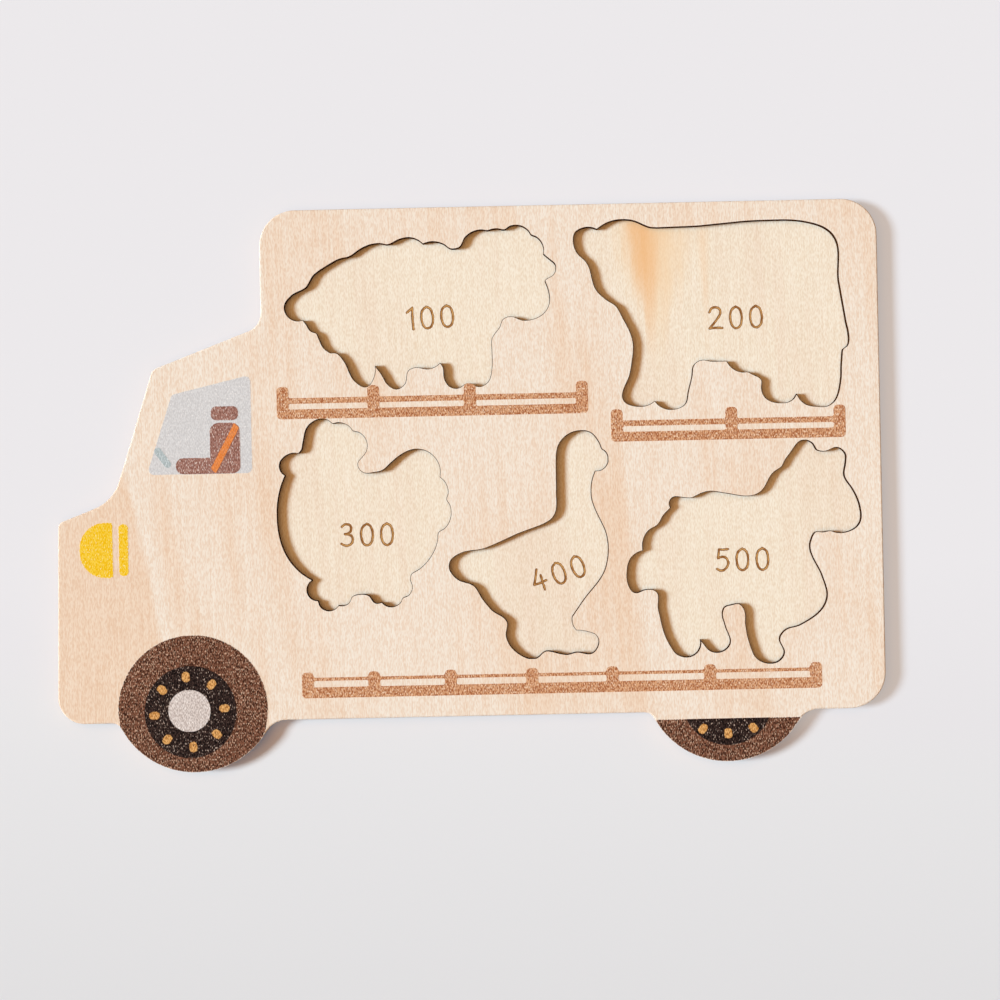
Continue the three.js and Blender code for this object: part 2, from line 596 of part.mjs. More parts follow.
// The window's corners, set in from the windscreen, the roof and the load box.
function windowCorners() {
  const rear = boxFront - REAR_POST;
  const sill = underside + WINDOW_SILL;
  const screenAt = (y) => screenFootX + (SCREEN_LEAN * (y - screenFoot)) / SCREEN_HEIGHT;
  const roofAt = (x) => roofEdge + (ROOF_RISE * (x - roofEdgeX)) / (boxFront - roofEdgeX);
  const headX = screenAt(roofEdge - HEADER_FRONT) + PILLAR_HEAD;
  return {
    footFront: [screenAt(sill) + PILLAR_FOOT, sill],
    footRear: [rear, sill],
    headRear: [rear, roofAt(rear) - HEADER_REAR],
    headFront: [headX, roofAt(headX) - HEADER_FRONT],
  };
}

function addCabWindow() {
  const { footFront, footRear, headRear, headFront } = windowCorners();
  const corners = [footFront, footRear, headRear, headFront];
  const pane = roundedLoop(corners.map(([x, y]) => [x, y, WINDOW_CORNER]));
  const within = cutter(pane);
  const [rear, sill] = footRear;
  const seatBack = rear - SEAT_SETBACK;
  const backrestX = seatBack - BACKREST_WIDTH;
  const cushion = roundedBar(seatBack - SEAT_LENGTH, sill, SEAT_LENGTH, CUSHION_HEIGHT, CUSHION_CORNER);
  const backrest = roundedBar(backrestX, sill, BACKREST_WIDTH, BACKREST_HEIGHT, BACKREST_CORNER);
  const headrestX = backrestX + (BACKREST_WIDTH - HEADREST_WIDTH) / 2;
  const headrestFoot = sill + BACKREST_HEIGHT + HEADREST_GAP;
  const headrest = roundedBar(headrestX, headrestFoot, HEADREST_WIDTH, HEADREST_HEIGHT, HEADREST_CORNER);
  const strapLength = 2 * BACKREST_HEIGHT;
  const strapLoop = roundedBar(-BELT_WIDTH / 2, -strapLength / 2, BELT_WIDTH, strapLength, BELT_CORNER);
  const strap = slab(strapLoop, INK_FILM);
  strap.rotateZ(THREE.MathUtils.degToRad(-BELT_TURN));
  strap.translate(backrestX + BACKREST_WIDTH / 2, sill + BACKREST_HEIGHT / 2, 0);
  const seat = inkSolid(cushion).add(inkSolid(backrest)).intersect(within);
  const belt = toSolid(strap).intersect(cutter(backrest)).intersect(within);
  addPrint('print_cab_window', slab(pane, INK_FILM), GLASS_INK);
  addPrint('print_seat', toGeometry(seat), SEAT_INK, 1);
  addPrint('print_headrest', toGeometry(inkSolid(headrest).intersect(within)), SEAT_INK, 1);
  addPrint('print_seat_belt', toGeometry(belt), BELT_INK, 2);

  const rimLoop = roundedBar(-RIM_WIDTH / 2, -RIM_LENGTH / 2, RIM_WIDTH, RIM_LENGTH, RIM_CORNER);
  const rim = slab(rimLoop, INK_FILM);
  const rimTurn = THREE.MathUtils.degToRad(RIM_TURN);
  const rimReach = (RIM_LENGTH * Math.sin(rimTurn) + RIM_WIDTH * Math.cos(rimTurn)) / 2;
  rim.rotateZ(rimTurn);
  rim.translate(seatBack - SEAT_LENGTH - RIM_GAP - rimReach, sill + RIM_LIFT, 0);
  addPrint('print_steering_wheel', toGeometry(toSolid(rim).intersect(within)), RIM_INK, 1);
}

// A fence along X from its first post's middle, open between its rails; the cut-outs interrupt it.
function addFence(name, { x, foot, height, bays, lowerRail, railGap, upperRail }) {
  const posts = [x];
  bays.forEach((bay) => posts.push(posts.at(-1) + bay));
  const half = FENCE_POST_WIDTH / 2;
  const gapFoot = foot + lowerRail;
  const railTop = gapFoot + railGap + upperRail;
  const corners = [[x - half, foot, FENCE_POST_CORNER]];
  posts.toReversed().forEach((post, i) => {
    const inner = i === 0 ? [post + half, foot, FENCE_POST_CORNER] : [post + half, railTop, FENCE_NOOK];
    corners.push(inner, [post + half, foot + height, FENCE_POST_CORNER]);
    corners.push([post - half, foot + height, FENCE_POST_CORNER]);
    if (post !== x) corners.push([post - half, railTop, FENCE_NOOK]);
  });
  const gaps = bays.map((bay, i) => {
    const length = bay - FENCE_POST_WIDTH;
    return roundedBar(posts[i] + half, gapFoot, length, railGap, FENCE_NOOK);
  });
  let fence = toSolid(slab(roundedLoop(corners), INK_FILM, gaps));
  cutouts.forEach((loop) => {
    fence = fence.subtract(cutter(loop));
  });
  addPrint(name, toGeometry(fence), FENCE_INK);
}

addFrontWheel();
addRearWheel();
addHeadlight();
addCabWindow();
addFence('print_sheep_fence', {
  x: boxFront + SHEEP_FENCE_SETBACK,
  foot: sheepFeet - SHEEP_FENCE_DROP,
  height: SHEEP_FENCE_HEIGHT,
  bays: SHEEP_FENCE_BAYS,
  lowerRail: FENCE_LOWER_RAIL,
  railGap: FENCE_RAIL_GAP,
  upperRail: FENCE_UPPER_RAIL,
});
addFence('print_cow_fence', {
  x: tail - COW_FENCE_INSET - COW_FENCE_BAYS.reduce((sum, bay) => sum + bay, 0),
  foot: cowFeet - COW_FENCE_DROP,
  height: COW_FENCE_HEIGHT,
  bays: COW_FENCE_BAYS,
  lowerRail: FENCE_LOWER_RAIL,
  railGap: FENCE_RAIL_GAP,
  upperRail: FENCE_UPPER_RAIL,
});
addFence('print_low_fence', {
  x: boxFront + LOW_FENCE_SETBACK,
  foot: underside + LOW_FENCE_LIFT,
  height: LOW_FENCE_HEIGHT,
  bays: LOW_FENCE_BAYS,
  lowerRail: LOW_FENCE_LOWER_RAIL,
  railGap: LOW_FENCE_RAIL_GAP,
  upperRail: LOW_FENCE_UPPER_RAIL,
});

export default board;
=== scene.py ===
"""Looks for a plywood shape board in the outline of a farm lorry.

Every ply and every printed patch is rebuilt from the outline of its CAD node: the facets become
smooth curves, the plies get sanded or scorched edges, the numbers are burnt into the base, and the
ink breaks up at its edges and over the grain. Metres throughout, in the row's frame.
"""

import math

import bpy
import numpy as np
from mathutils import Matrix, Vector
from mathutils.geometry import delaunay_2d_cdt


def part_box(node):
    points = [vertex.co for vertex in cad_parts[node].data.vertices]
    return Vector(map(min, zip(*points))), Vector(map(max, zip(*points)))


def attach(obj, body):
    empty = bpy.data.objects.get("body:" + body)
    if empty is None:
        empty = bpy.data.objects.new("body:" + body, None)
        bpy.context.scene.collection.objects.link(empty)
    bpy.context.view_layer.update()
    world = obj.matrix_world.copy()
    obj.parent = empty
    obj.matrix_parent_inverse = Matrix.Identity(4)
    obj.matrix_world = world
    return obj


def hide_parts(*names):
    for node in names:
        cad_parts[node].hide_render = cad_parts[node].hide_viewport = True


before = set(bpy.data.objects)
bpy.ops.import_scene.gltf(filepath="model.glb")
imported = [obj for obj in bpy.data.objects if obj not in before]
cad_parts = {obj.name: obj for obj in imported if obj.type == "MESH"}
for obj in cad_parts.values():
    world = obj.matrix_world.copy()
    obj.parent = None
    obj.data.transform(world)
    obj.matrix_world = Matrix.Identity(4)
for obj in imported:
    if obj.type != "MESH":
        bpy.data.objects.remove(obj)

bl_info = {
    "name": "Shape board looks",
    "version": (1, 0, 0),
    "blender": (4, 5, 0),
    "location": "3D View > Sidebar > Shape Board",
    "description": "Dresses a CAD shape board as scorched, printed basswood plywood",
    "category": "Object",
}

MM = 0.001
CORNER_TURN = math.radians(50)  # an outline that turns more at a point keeps its corner there
SHARP_TURN = math.radians(40)  # faces that meet at more than this look sharp
LEAST_RADIUS = 2e-6  # metres: keeps the rings of points of a sharp arris apart
NO_STROKE = 9.0  # millimetres: a point far from every burnt stroke
GROOVE_FLOOR = 0.28  # of a stroke's width from its middle: the groove is deepest up to here
GROOVE_SIDE = 0.3  # of a stroke's width: how wide the groove's sloping side is

# Roughness and specular level of bare sanded wood and of printed ink, both close to matt.
WOOD_FINISH = (0.82, 0.1)
INK_FINISH = (0.82, 0.06)

# Places on the board and the table, in metres along or across; a lean is how far an edge shifts per metre.
VIEW_MIDDLE = (0.0115, -0.0051)
HEART_EDGE = (-0.1205, -0.1165)  # along: the nose's pink heartwood ends between these
HEART_LEAN = 0.22
HEART_WANDER = 0.008
STREAK_MIDDLE = 0.066  # across: where a rusty streak's place along the board is given
STREAK_NARROWS = (0.045, 0.09)  # across: a rusty streak is narrow at the first, wide at the second
STREAK_FADES = (0.036, 0.086)  # across: it is gone at the first, full at the second
SHADE_EDGE = (-0.098, -0.068)  # across: the table's painted glow grows and its colour darkens between these, painting its shadows lighter away from the wheels
SHADE_LEAN = 0.09
DIM_EDGE = (-0.19, -0.03)  # across: painted falloff of light; the table's colour and glow brighten between these
TABLE_HALF = 4.0

# Rusty streaks: place along from the main one, lean, half width, strength, colour.
STREAKS = (
    (0.0035, 0.05, 0.020, 0.70, "#f6cfa0"),
    (0.0, 0.072, 0.0088, 0.60, "#f0ad66"),
    (0.0208, 0.02, 0.0032, 0.26, "#f6c48c"),
)

# Settings that many shader nodes share.
EASE = {"interpolation_type": "SMOOTHSTEP"}
RGBA = {"data_type": "RGBA"}

# Handwritten digits, as strokes in units of the digit's height from its lower left corner.
DIGITS = {
    "0": [[(0.30, 1.00), (0.10, 0.84), (0.03, 0.50), (0.11, 0.13), (0.31, 0.00), (0.51, 0.15), (0.57, 0.51),
           (0.49, 0.86), (0.30, 1.00)]],
    "1": [[(0.06, 0.80), (0.20, 0.90), (0.32, 1.00)], [(0.32, 1.00), (0.30, 0.50), (0.31, 0.00)]],
    "2": [
        [(0.05, 0.78), (0.15, 0.95), (0.35, 1.00), (0.54, 0.88), (0.53, 0.66), (0.32, 0.36), (0.03, 0.03)],
        [(0.03, 0.03), (0.30, 0.05), (0.61, 0.03)],
    ],
    "3": [
        [(0.07, 0.88), (0.25, 1.00), (0.47, 0.93), (0.49, 0.70), (0.36, 0.57), (0.21, 0.54)],
        [(0.21, 0.54), (0.44, 0.50), (0.57, 0.34), (0.51, 0.10), (0.28, 0.00), (0.04, 0.09)],
    ],
    "4": [
        [(0.37, 1.00), (0.22, 0.68), (0.04, 0.36)],
        [(0.04, 0.36), (0.34, 0.35), (0.64, 0.38)],
        [(0.47, 0.68), (0.45, 0.34), (0.44, 0.00)],
    ],
    "5": [
        [(0.55, 0.99), (0.34, 0.97), (0.14, 0.98)],
        [(0.14, 0.98), (0.12, 0.78), (0.09, 0.58)],
        [(0.09, 0.58), (0.30, 0.64), (0.51, 0.53), (0.55, 0.27), (0.38, 0.04), (0.20, 0.00), (0.04, 0.08)],
    ],
}

# The number burnt into each recess: its middle in millimetres and its slope in degrees.
NUMBER_PLACES = {
    "100": (-12.6, 61.5, 3.0),
    "200": (98.0, 59.2, 1.0),
    "300": (-37.0, -16.6, 0.0),
    "400": (31.9, -32.1, 18.0),
    "500": (98.7, -28.4, 0.0),
}

# Each print: its CAD node, and the material of the ink.
WHEEL_PRINTS = {
    "print_front_tyre": "tyre",
    "print_rear_tyre": "tyre",
    "print_front_disc": "disc",
    "print_rear_disc": "disc",
    "print_front_hub": "hub",
    **{f"print_front_bolt_{i}": "bolt" for i in range(1, 9)},
    **{f"print_rear_bolt_{i}": "bolt" for i in range(1, 4)},
}
CAB_PRINTS = {
    "print_headlight_lens": "headlight",
    "print_headlight_bar": "headlight",
    "print_cab_window": "window",
    "print_seat": "seat",
    "print_headrest": "seat",
    "print_seat_belt": "seat_belt",
    "print_steering_wheel": "steering_wheel",
}
FENCE_PRINTS = {
    "print_sheep_fence": "fence",
    "print_cow_fence": "fence",
    "print_low_fence": "fence",
}

# What shows in the gaps of each ink and below its frayed edge; bare wood where no colour is given.
UNDER_INK = {
    "tyre": ("#cfa98e", None),
    "disc": ("#bfa797", "#6b4433"),
    "hub": ("#f4e9e2", "#35241f"),
    "bolt": ("#8a5c34", "#35241f"),
    "headlight": ("#fbe4a0", None),
    "window": ("#eee8e5", None),
    "seat": ("#dcc4b9", "#d8d4d2"),
    "seat_belt": ("#c9825c", "#8e5d4e"),
    "steering_wheel": ("#d9dfe0", "#d8d4d2"),
    "fence": ("#f0cfb0", None),
}

# How each print is worn: the share of gaps, the fraying of its edge, and a bare margin in millimetres,
# below zero where the fraying hardly bites.
WEAR = {
    "tyre": (0.335, 0.45, 0.0),
    "disc": (0.27, 0.4, 0.0),
    "hub": (0.30, 0.15, 0.0),
    "bolt": (0.30, 0.4, 0.15),
    "headlight": (0.27, 0.5, 0.0),
    "window": (0.30, 0.25, 0.0),
    "seat": (0.31, 0.25, 0.0),
    "seat_belt": (0.32, 0.3, 0.0),
    "steering_wheel": (0.32, 0.3, 0.0),
    "fence": (0.35, 0.3, -0.14),
}


# Outlines.


def node_loops(node):
    """Closed outlines of a flat CAD node's upper face, in metres, with the solid on their left."""
    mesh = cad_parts[node].data
    points = np.array([vertex.co for vertex in mesh.vertices])
    top = points[:, 2].max()
    keys = [tuple(np.round(point[:2] * 1e7).astype(int)) for point in points]
    place = dict(zip(keys, points[:, :2]))
    edges = set()
    for polygon in mesh.polygons:
        corners = list(polygon.vertices)
        if min(points[corners, 2]) < top - 1e-6:
            continue
        edges.update((keys[a], keys[b]) for a, b in zip(corners, corners[1:] + corners[:1]))
    following = {a: b for a, b in edges if (b, a) not in edges}
    loops = []
    while following:
        start, at = following.popitem()
        loop = [start]
        while at != start:
            loop.append(at)
            at = following.pop(at)
        loops.append(np.array([place[key] for key in loop]))
    return sorted(loops, key=lambda loop: -np.ptp(loop[:, 0]))


def smooth_loop(loop, step):
    """A faceted outline as a smooth one, with points about a step apart and its true corners kept."""
    count = len(loop)
    ahead = np.roll(loop, -1, axis=0) - loop
    length = np.linalg.norm(ahead, axis=1)
    along = ahead / length[:, None]
    behind = np.roll(along, 1, axis=0)
    behind_length = np.roll(length, 1)
    turn = np.arccos(np.clip((along * behind).sum(axis=1), -1, 1))
    tangent = ahead + np.roll(ahead, 1, axis=0)
    tangent = np.where((length > 4 * behind_length)[:, None], along, tangent)
    tangent = np.where((behind_length > 4 * length)[:, None], behind, tangent)
    tangent /= np.linalg.norm(tangent, axis=1)[:, None]
    corner = turn > CORNER_TURN
    points = []
    for i in range(count):
        j = (i + 1) % count
        leave = along[i] if corner[i] else tangent[i]
        arrive = along[i] if corner[j] else tangent[j]
        first = loop[i] + leave * length[i] / 3
        second = loop[j] - arrive * length[i] / 3
        steps = max(1, math.ceil(length[i] / step))
        for t in np.arange(steps) / steps:
            s = 1 - t
            points.append(s**3 * loop[i] + 3 * s * s * t * first + 3 * s * t * t * second + t**3 * loop[j])
    return np.clip(np.array(points), loop.min(axis=0), loop.max(axis=0))


def inset(loop, distance):
    """An outline moved into the solid on its left."""
    along = np.roll(loop, -1, axis=0) - loop
    along /= np.linalg.norm(along, axis=1)[:, None]
    normal = np.stack([-along[:, 1], along[:, 0]], axis=1)
    both = normal + np.roll(normal, 1, axis=0)
    both /= np.maximum((both**2).sum(axis=1), 0.9)[:, None] / 2
    return loop + both * distance


def inside(points, loops):
    """Which points lie within a set of outlines, holes taken out."""
    crossings = np.zeros(len(points), int)
    for loop in loops:
        end = np.roll(loop, -1, axis=0)
        for a, b in zip(loop, end):
            spans = (a[1] > points[:, 1]) != (b[1] > points[:, 1])
            if spans.any():
                x = a[0] + (points[:, 1] - a[1]) * (b[0] - a[0]) / (b[1] - a[1] + 1e-30)
                crossings += spans & (points[:, 0] < x)
    return crossings % 2 == 1


def distance_to(points, starts, ends):
    """Each point's distance to the nearest of a set of straight pieces."""
    nearest = np.full(len(points), np.inf)
    for a, b in zip(starts, ends):
        span = b - a
        share = np.clip(((points - a) @ span) / max(span @ span, 1e-18), 0, 1)
        nearest = np.minimum(nearest, np.linalg.norm(points - a - share[:, None] * span, axis=1))
    return nearest


def lattice(low, high, spacing):
    """Points of a triangular lattice over a box."""
    rows = np.arange(low[1], high[1], spacing * math.sqrt(0.75))
    return np.array([
        (x, y)
        for i, y in enumerate(rows)
        for x in np.arange(low[0] + spacing * (i % 2) / 2, high[0], spacing)
    ])


def fill(loops, extra):
    """Triangles between outlines, with extra points: points, corners, and the given point of each."""
    chains = []
    count = 0
    for loop in loops:
        chains += [(count + i, count + (i + 1) % len(loop)) for i in range(len(loop))]
        count += len(loop)
    given = np.concatenate([*loops, extra]) / MM
    points, _, faces, sources, _, _ = delaunay_2d_cdt([Vector(p) for p in given], chains, [], 0, 1e-6)
    points = np.array([tuple(p) for p in points]) * MM
    faces = np.array([tuple(face) for face in faces])
    faces = faces[inside(points[faces].mean(axis=1), loops)]
    return points, faces, [source[0] if source else -1 for source in sources]


# Meshes.


class Build:
    """Points and faces of one piece while it is put together."""

    def __init__(self):
        self.points = []
        self.faces = []
        self.materials = []
        self.smooth = []

    def add_points(self, flat, z):
        """Adds points at a height and returns their numbers."""
        first = len(self.points)
        heights = np.broadcast_to(z, len(flat))
        self.points += [(x, y, h) for (x, y), h in zip(flat, heights)]
        return np.arange(first, first + len(flat))

    def add_band(self, lower, upper, material):
        """Faces between two rings of points, seen from the side away from the solid."""
        after = np.roll(lower, -1)
        above = np.roll(upper, -1)
        self.faces += [tuple(map(int, corners)) for corners in zip(lower, after, above, upper)]
        self.materials += [material] * len(lower)
        self.smooth += [True] * len(lower)

    def add_cap(self, loops, rings, z, material, upward, extra=None, relief=None):
        """A flat face between rings of points, with extra points and their relief below the face."""
        extra = np.zeros((0, 2)) if extra is None else extra
        points, faces, sources = fill(loops, extra)
        known = np.concatenate(rings)
        numbers = np.array([known[s] if 0 <= s < len(known) else -1 for s in sources])
        fresh = numbers < 0
        depth = np.zeros(len(points)) if relief is None else relief(points)
        numbers[fresh] = self.add_points(points[fresh], z - depth[fresh])
        order = faces if upward else faces[:, ::-1]
        self.faces += [tuple(map(int, numbers[face])) for face in order]
        self.materials += [material] * len(order)
        self.smooth += [bool(depth[face].max() > 0) for face in order]

    def make(self, name, materials):
        """The finished object."""
        mesh = bpy.data.meshes.new(name)
        mesh.from_pydata(self.points, [], self.faces)
        for material in materials:
            mesh.materials.append(material)
        mesh.polygons.foreach_set("material_index", self.materials)
        mesh.set_sharp_from_angle(angle=SHARP_TURN)
        mesh.polygons.foreach_set("use_smooth", self.smooth)
        piece = bpy.data.objects.new(name, mesh)
        bpy.context.scene.collection.objects.link(piece)
        return piece


def ring_profile(thickness, lower_radius, upper_radius, segments=3):
    """Steps up a ply's edge as (inset, height), with rounded lower and upper arrises."""
    turns = np.linspace(0, math.pi / 2, segments + 1)
    lower = [(lower_radius * (1 - math.sin(t)), lower_radius * (1 - math.cos(t))) for t in turns]
    upper = [
        (upper_radius * (1 - math.cos(t)), thickness - upper_radius * (1 - math.sin(t))) for t in turns
    ]
    return lower + upper


def set_distance(piece, name, values):
    """Keeps a distance in millimetres on every point of a piece, for its material."""
    attribute = piece.data.attributes.new(name, "FLOAT", "POINT")
    attribute.data.foreach_set("value", np.asarray(values, np.float32))


def settle(piece, node):
    """Puts a piece in place of its CAD node, on the root body, and hides the node."""
    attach(piece, "root")
    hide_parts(node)


def make_ply(
        node, look, face, edge, wall, lower_radius=0.0, upper_radius=0.0, sanded=False, extra=None,
        relief=None):
    """One ply: flat faces, an outer edge and cut-out walls. A sanded upper arris is bare wood."""
    low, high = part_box(node)
    build = Build()
    starts, ends, lower_rings, upper_rings = [], [], [], []
    for i, loop in enumerate(smooth_loop(loop, look.curve_step) for loop in node_loops(node)):
        radii = (lower_radius, upper_radius) if i == 0 else (0.0, look.rim_radius if upper_radius else 0.0)
        steps = ring_profile(high.z - low.z, *(max(radius, LEAST_RADIUS) for radius in radii))
        flats = [inset(loop, step) for step, _ in steps]
        rings = [build.add_points(flat, low.z + height) for flat, (_, height) in zip(flats, steps)]
        for place, (below, above) in enumerate(zip(rings, rings[1:])):
            bare = sanded and place >= len(rings) // 2
            build.add_band(below, above, 2 if i else 0 if bare else 1)
        starts.append(flats[0])
        ends.append(flats[-1])
        lower_rings.append(rings[0])
        upper_rings.append(rings[-1])
    build.add_cap(starts, lower_rings, low.z, 0, False)
    build.add_cap(ends, upper_rings, high.z, 0, True, extra, relief)
    piece = build.make(node.replace("veneer", "ply"), [face, edge, wall])
    settle(piece, node)
    return piece


def make_film(node, look, ink):
    """One printed patch: a film of ink whose points know how far they are from its edge."""
    low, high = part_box(node)
    loops = [smooth_loop(loop, look.curve_step) for loop in node_loops(node)]
    starts = np.concatenate(loops)
    ends = np.concatenate([np.roll(loop, -1, axis=0) for loop in loops])
    grid = lattice(low, high, look.film_step)
    grid = grid[inside(grid, loops)]
    grid = grid[distance_to(grid, starts, ends) > 0.3 * look.film_step]
    build = Build()
    lower = [build.add_points(loop, low.z) for loop in loops]
    upper = [build.add_points(loop, high.z) for loop in loops]
    for below, above in zip(lower, upper):
        build.add_band(below, above, 0)
    build.add_cap(loops, upper, high.z, 0, True, grid)
    piece = build.make(node.replace("print_", "") + "_film", [ink])
    flat = np.array(build.points)[:, :2]
    set_distance(piece, "edge_mm", distance_to(flat, starts, ends) / MM)
    settle(piece, node)
    return piece


# Burnt numbers.


def curve_through(points, steps=8):
    """Points of a smooth line through a few given ones."""
    knots = np.array([points[0], *points, points[-1]], float)
    line = []
    for a, b, c, d in zip(knots, knots[1:], knots[2:], knots[3:]):
        for t in np.arange(steps) / steps:
            line.append(b + t * (c - a) / 2 + t**2 * (2 * a - 5 * b + 4 * c - d) / 2
                        + t**3 * (3 * b - a - 3 * c + d) / 2)
    return np.array([*line, knots[-1]])


def number_strokes(look):
    """Straight pieces of each burnt number, as their starts and ends."""
    numbers = []
    for number, (x, y, slope) in NUMBER_PLACES.items():
        lines = []
        width = 0.0
        for digit in number:
            glyph = [curve_through(stroke) * look.digit_height for stroke in DIGITS[digit]]
            lines += [line + (width, 0.0) for line in glyph]
            width = max(line[:, 0].max() for line in lines) + look.digit_gap
        middle = ((width - look.digit_gap) / 2, look.digit_height / 2)
        turn = math.radians(slope)
        turned = np.array([(math.cos(turn), math.sin(turn)), (-math.sin(turn), math.cos(turn))])
        placed = [(line - middle) @ turned + (x * MM, y * MM) for line in lines]
        starts = np.concatenate([line[:-1] for line in placed])
        ends = np.concatenate([line[1:] for line in placed])
        numbers.append((starts, ends))
    return numbers


def number_lattice(look):
    """Fine points round the burnt strokes, where the base's face dips."""
    patches = []
    reach = 1.6 * look.stroke_width
    for starts, ends in number_strokes(look):
        patch = lattice(starts.min(axis=0) - reach, ends.max(axis=0) + reach, look.groove_step)
        patches.append(patch[distance_to(patch, starts, ends) < reach])
    return np.concatenate(patches)


def stroke_distance(points, look):
    """Each point's distance to the nearest burnt stroke."""
    starts, ends = (np.concatenate(part) for part in zip(*number_strokes(look)))
    return distance_to(points, starts, ends)


def groove_depth(points, look):
    """How far the burnt strokes dip below the base's face."""
    share = stroke_distance(points, look) / look.stroke_width
    rise = np.clip((share - GROOVE_FLOOR) / GROOVE_SIDE, 0, 1)
    return look.groove_depth * (1 - rise * rise * (3 - 2 * rise))


# Shader nodes.


def linear(code):
    """Scene-linear colour of an sRGB hex code."""
    parts = [int(code[i:i + 2], 16) / 255 for i in (1, 3, 5)]
    return (*(p / 12.92 if p <= 0.04045 else ((p + 0.055) / 1.055) ** 2.4 for p in parts), 1.0)


def output_of(value):
    """The first live output of a node, or the value itself if it isn't a node."""
    if isinstance(value, bpy.types.Node):
        return next(output for output in value.outputs if output.enabled)
    return value


def add_node(tree, kind, inputs, **settings):
    """Adds a shader node with its settings. An input that is a node or socket is linked, another set."""
    node = tree.nodes.new("ShaderNode" + kind)
    for key, value in settings.items():
        setattr(node, key, value)
    for key, value in inputs.items():
        named = [socket for socket in node.inputs if socket.name == key and socket.enabled]
        socket = named[0] if named else node.inputs[key]
        if isinstance(output_of(value), bpy.types.NodeSocket):
            tree.links.new(output_of(value), socket)
        else:
            socket.default_value = value
    return node


def new_material(name, roughness, specular):
    """A material with its node tree, its surface shader, and a point's place on the board in metres."""
    material = bpy.data.materials.new(name)
    material.use_nodes = True
    tree = material.node_tree
    surface = tree.nodes["Principled BSDF"]
    surface.inputs["Roughness"].default_value = roughness
    surface.inputs["Specular IOR Level"].default_value = specular
    place = add_node(tree, "TexCoord", {}).outputs["Object"]
    return material, tree, surface, place


def patterns(tree, place, table):
    """Noise patterns by name, from their blobs' size in millimetres, detail, shift in metres and lean."""
    made = {}
    for name, (size, detail, shift, lean) in table.items():
        spot = add_node(
            tree, "Mapping",
            {"Vector": place, "Location": (shift, shift, shift), "Rotation": (0.0, 0.0, lean),
             "Scale": tuple(MM * edge for edge in size)}, vector_type="TEXTURE")
        made[name] = add_node(tree, "TexNoise", {"Vector": spot, "Scale": 1.0, "Detail": detail})
    return made


def finish(tree, surface, color, height, depth):
    """Links a colour and a fine relief, its depth in metres, to the surface."""
    normal = add_node(tree, "Bump", {"Strength": 0.6, "Distance": depth, "Height": height})
    tree.links.new(output_of(color), surface.inputs["Base Color"])
    tree.links.new(output_of(normal), surface.inputs["Normal"])


# Materials.


def basswood(tree, look, place, cream, pink, fibre, shift, heart=0.0):
    """Sanded basswood: pink and cream patches that lean, fine upright fibres and rare specks.

    Where the heart factor is high the wood is as pink as it gets. Its pores are about 0.05 mm wide,
    too fine to show, so they are drawn about 0.3 mm wide.
    """
    pattern = patterns(tree, place, {
        "patches": ((30.0, 130.0, 60.0), 2.0, shift, look.grain_lean),
        "bands": ((3.6, 90.0, 30.0), 2.0, shift + 0.2, look.grain_lean / 4),
        "streaks": ((0.35, 18.0, 4.0), 2.0, shift, 0.0),
        "pores": ((0.28, 1.3, 0.8), 0.0, shift, 0.0),
    })
    tone = add_node(tree, "Mix", {"Factor": 0.35, "A": pattern["patches"], "B": pattern["bands"]})
    tone = add_node(tree, "MapRange", {"Value": tone, "From Min": 0.43, "From Max": 0.72}, **EASE)
    tone = add_node(tree, "Math", {0: tone, 1: heart}, operation="MAXIMUM")
    color = add_node(tree, "Mix", {"Factor": tone, "A": cream, "B": pink}, **RGBA)
    for name, low, high, strength in (("streaks", 0.3, 0.7, look.grain), ("pores", 0.3, 0.66, look.pores)):
        share = add_node(
            tree, "MapRange",
            {"Value": pattern[name], "From Min": low, "From Max": high, "To Min": strength, "To Max": 0.0},
            **EASE)
        color = add_node(
            tree, "Mix", {"Factor": share, "A": color, "B": fibre}, blend_type="MULTIPLY", **RGBA)
    spot = add_node(
        tree, "Mapping", {"Vector": place, "Location": (shift, 0.3, 0.0), "Scale": (110.0, 110.0, 0.0)})
    cell = add_node(tree, "TexVoronoi", {"Vector": spot, "Scale": 1.0})
    lucky = add_node(
        tree, "Math", {0: cell.outputs["Color"], 1: look.speck_rarity}, operation="GREATER_THAN")
    speck = add_node(
        tree, "MapRange",
        {"Value": cell.outputs["Distance"], "From Min": 0.018, "From Max": 0.034, "To Min": 0.75,
         "To Max": 0.0},
        **EASE)
    speck = add_node(tree, "Math", {0: speck, 1: lucky}, operation="MULTIPLY")
    color = add_node(tree, "Mix", {"Factor": speck, "A": color, "B": linear("#5d4a3c")}, **RGBA)
    height = add_node(
        tree, "Math", {0: pattern["streaks"], 1: 0.5, 2: pattern["pores"]}, operation="MULTIPLY_ADD")
    return color, height


def heartwood(tree, place):
    """How far the pinker heart of the veneer, at the lorry's nose, has taken over; its edge leans."""
    wander = patterns(tree, place, {"wander": ((8.0, 30.0, 30.0), 2.0, 0.0, 0.0)})["wander"]
    spot = add_node(tree, "SeparateXYZ", {"Vector": place})
    lean = add_node(
        tree, "Math", {0: spot.outputs["Y"], 1: HEART_LEAN, 2: spot.outputs["X"]}, operation="MULTIPLY_ADD")
    lean = add_node(tree, "Math", {0: wander, 1: HEART_WANDER, 2: lean}, operation="MULTIPLY_ADD")
    return add_node(
        tree, "MapRange",
        {"Value": lean, "From Min": HEART_EDGE[0], "From Max": HEART_EDGE[1], "To Min": 0.9, "To Max": 0.0},
        **EASE)


def frame_material(look):
    """The frame's bare veneer, pale and silky with hardly any gloss, and pinker at the nose."""
    material, tree, surface, place = new_material("sanded basswood of the frame", *WOOD_FINISH)
    color, height = basswood(
        tree, look, place, (*look.frame_cream, 1), (*look.frame_pink, 1), (*look.frame_fibre, 1), 0.0,
        heartwood(tree, place))
    finish(tree, surface, color, height, look.grain_depth)
    return material


